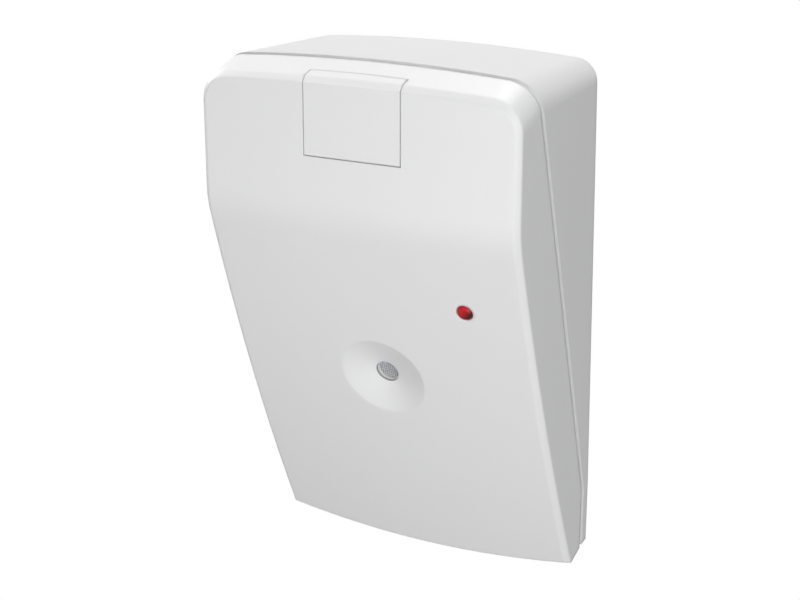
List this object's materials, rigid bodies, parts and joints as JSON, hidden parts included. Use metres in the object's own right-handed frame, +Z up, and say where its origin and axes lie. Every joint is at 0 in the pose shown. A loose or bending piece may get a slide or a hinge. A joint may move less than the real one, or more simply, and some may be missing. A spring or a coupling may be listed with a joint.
{
  "type": "glass break sensor",
  "caption": "Wall-mounted acoustic glass break sensor: drafted rear housing, wedge front cover with screw hatch, microphone dish and red indicator lamp, board inside.",
  "frame": {"origin": "on the wall plane, at the middle of the four wall screw holes in the rear housing", "axes": "+X to the right seen from the front, +Y into the wall, +Z up the wall; the front face looks along -Y"},
  "size_m": [0.066, 0.04, 0.1081],
  "materials": {
    "white_plastic": "fine moulded texture, white ABS",
    "steel": "zinc-plated steel",
    "board": "green solder resist on glass-epoxy board",
    "screen_cloth": "fine grey woven screen",
    "boot_rubber": "soft black rubber",
    "capsule_metal": "bright drawn aluminium",
    "lamp_red": "clear red epoxy lens",
    "nylon": "natural nylon",
    "terminal_plastic": "green moulded plastic",
    "brass": "bare brass",
    "relay_case": "cream moulded case",
    "switch_black": "black moulded plastic",
    "plunger_red": "red moulded plastic",
    "trimmer_blue": "blue moulded plastic",
    "rotor_white": "white moulded plastic",
    "chip_black": "black chip resin",
    "crystal_can": "drawn steel can",
    "capacitor_sleeve": "dark blue shrink sleeve",
    "header_black": "black strip with gold-coloured pins",
    "jumper_red": "red moulded plastic"
  },
  "bodies": {
    "case": {"rear_housing": "white_plastic", "front_cover": "white_plastic", "screw_hatch": "white_plastic", "cover_screw": "steel", "circuit_board": "board", "board_screws": "steel", "microphone_screen": "screen_cloth", "microphone_boot": "boot_rubber", "microphone_capsule": "capsule_metal", "indicator_lamp": "lamp_red", "lamp_spacer": "nylon", "terminal_block": "terminal_plastic", "terminal_clamps": "brass", "terminal_screws": "steel", "alarm_relay": "relay_case", "tamper_switch": "switch_black", "trimmer_body": "trimmer_blue", "processor_chip": "chip_black", "amplifier_chip": "chip_black", "clock_crystal": "crystal_can", "voltage_regulator": "chip_black", "supply_capacitor": "capacitor_sleeve", "coupling_capacitor": "capacitor_sleeve", "protection_diode": "chip_black", "jumper_header": "header_black", "lamp_jumper": "jumper_red", "range_jumper": "jumper_red"},
    "plunger": {"tamper_plunger": "plunger_red"},
    "rotor": {"trimmer_rotor": "rotor_white"}
  },
  "joints": [
    {"name": "tamper_press", "type": "slide", "parent": "case", "child": "plunger", "axis": [0, 0.9527, 0.304], "range_m": [0, 0.0006], "stiffness_N_per_m": 500, "springref_m": -0.002},
    {"name": "sensitivity_turn", "type": "hinge", "parent": "case", "child": "rotor", "pos_m": [-0.018, -0.01889, 0.00451], "axis": [0, -0.9527, -0.304], "range_deg": [-135, 135]}
  ]
}
